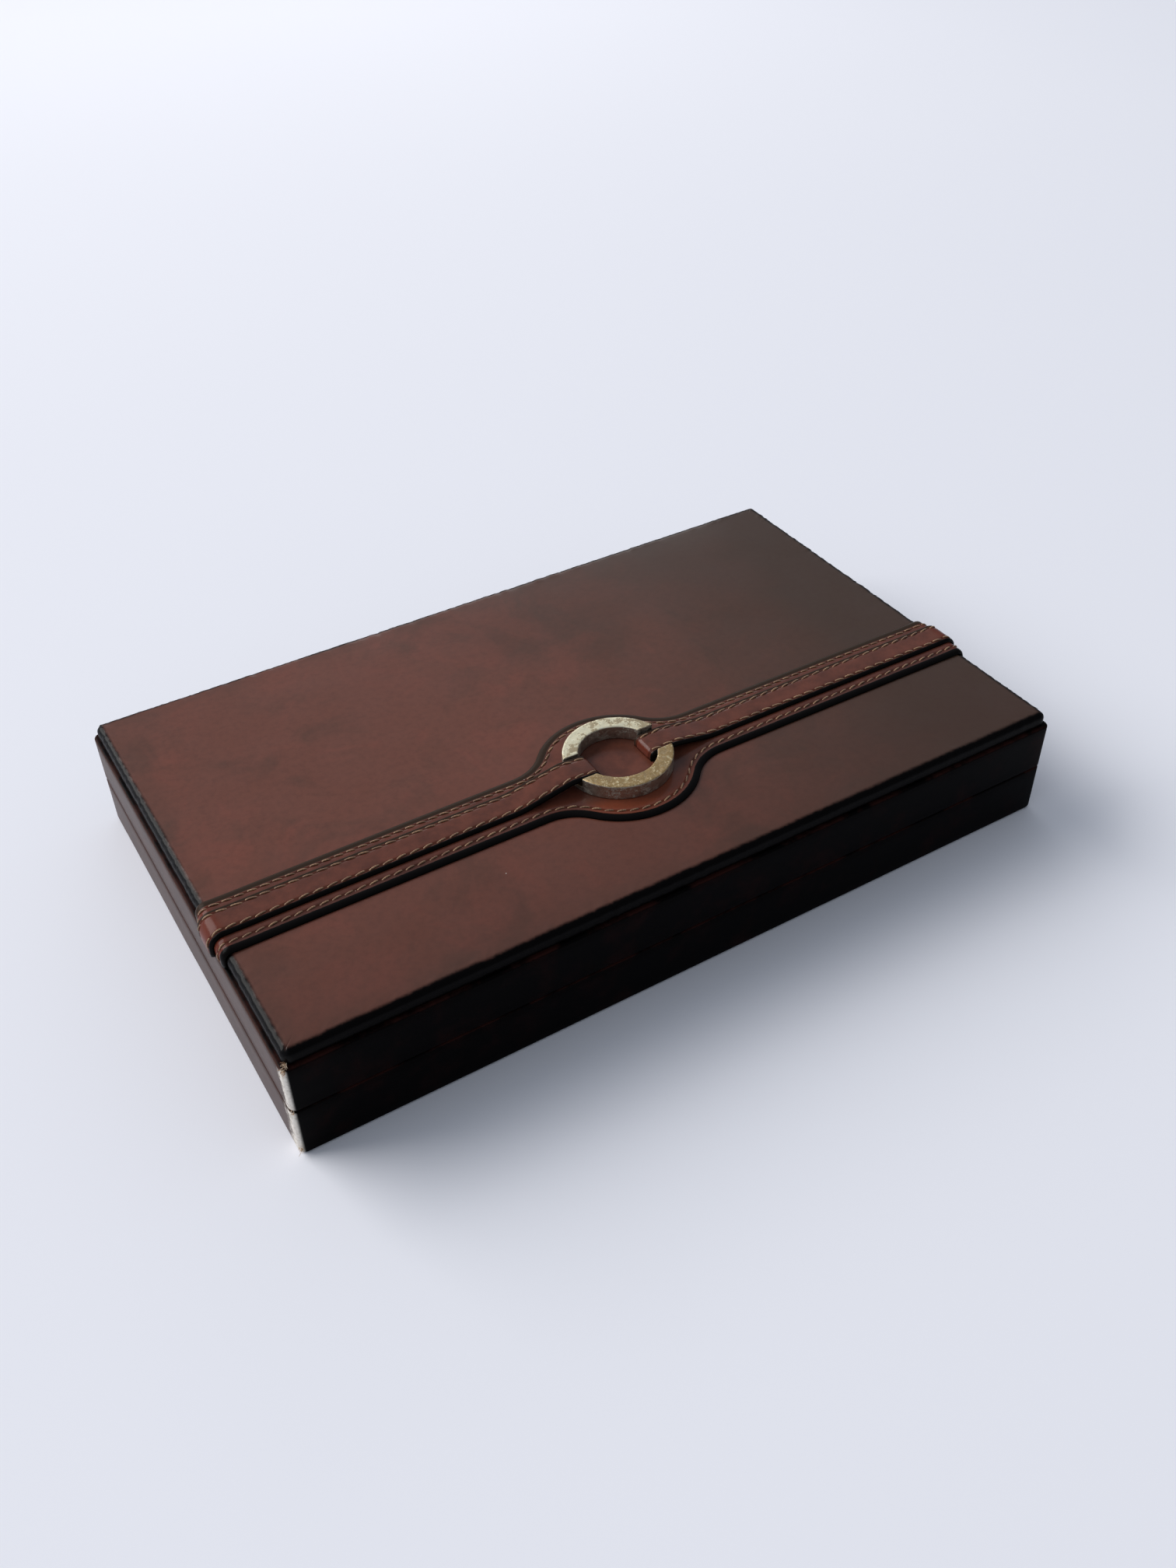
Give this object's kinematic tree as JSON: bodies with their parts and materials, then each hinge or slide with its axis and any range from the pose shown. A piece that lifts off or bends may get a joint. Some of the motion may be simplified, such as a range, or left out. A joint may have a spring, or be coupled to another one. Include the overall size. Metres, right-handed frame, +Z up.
{
  "type": "poker chip case",
  "caption": "Low leather-covered box with a hinged padded lid, chip troughs and card wells inside, and stitched straps through a metal ring on the lid.",
  "frame": {"origin": "middle of the underside, on the surface that the case stands on", "axes": "+X along the long side, +Y to the hinge side, +Z up"},
  "size_m": [0.3432, 0.2131, 0.0589],
  "materials": {
    "case_leather": "glossy, polished, nearly black mahogany",
    "panel_leather": "glossy, polished mahogany with black-dyed edges",
    "strap_leather": "glossy mahogany with black painted edges",
    "suede": "brushed tan suede",
    "felt": "felt",
    "thread": "waxed tan thread",
    "padding": "foam",
    "ring_metal": "worn gilt plating over grey metal",
    "hinge_brass": "polished",
    "magnet": "plated",
    "tray_wood": "stained",
    "box_wood": "plain"
  },
  "bodies": {
    "base": {"base_bottom_cover": "case_leather", "base_bottom_board": "box_wood", "base_front_wall": "box_wood", "base_back_wall": "box_wood", "base_left_wall": "box_wood", "base_right_wall": "box_wood", "base_leather": "case_leather", "base_wall_lining": "suede", "chip_trough_1": "tray_wood", "chip_trough_2": "tray_wood", "chip_trough_3": "tray_wood", "chip_trough_4": "tray_wood", "trough_lining_1": "suede", "trough_lining_2": "suede", "trough_lining_3": "suede", "trough_lining_4": "suede", "centre_rail": "tray_wood", "card_divider": "tray_wood", "well_pads": "felt", "base_magnets": "magnet", "left_hinge_base_leaf": "hinge_brass", "right_hinge_base_leaf": "hinge_brass", "left_hinge_pin": "hinge_brass", "right_hinge_pin": "hinge_brass", "base_hinge_screws": "hinge_brass"},
    "lid": {"lid_front_wall": "box_wood", "lid_back_wall": "box_wood", "lid_left_wall": "box_wood", "lid_right_wall": "box_wood", "lid_leather": "case_leather", "lid_wall_lining": "suede", "lid_ceiling_lining": "suede", "panel_board": "box_wood", "panel_padding": "padding", "panel_leather": "panel_leather", "wide_strap": "strap_leather", "left_strap": "strap_leather", "right_strap": "strap_leather", "wide_strap_thread": "thread", "narrow_strap_thread": "thread", "ring": "ring_metal", "lid_magnets": "magnet", "left_hinge_lid_leaf": "hinge_brass", "right_hinge_lid_leaf": "hinge_brass", "lid_hinge_screws": "hinge_brass"}
  },
  "joints": [
    {"name": "lid_hinge", "type": "hinge", "parent": "base", "child": "lid", "pos_m": [0, 0.1067, 0.02315], "axis": [-1, 0, 0], "range_deg": [0, 100]}
  ]
}
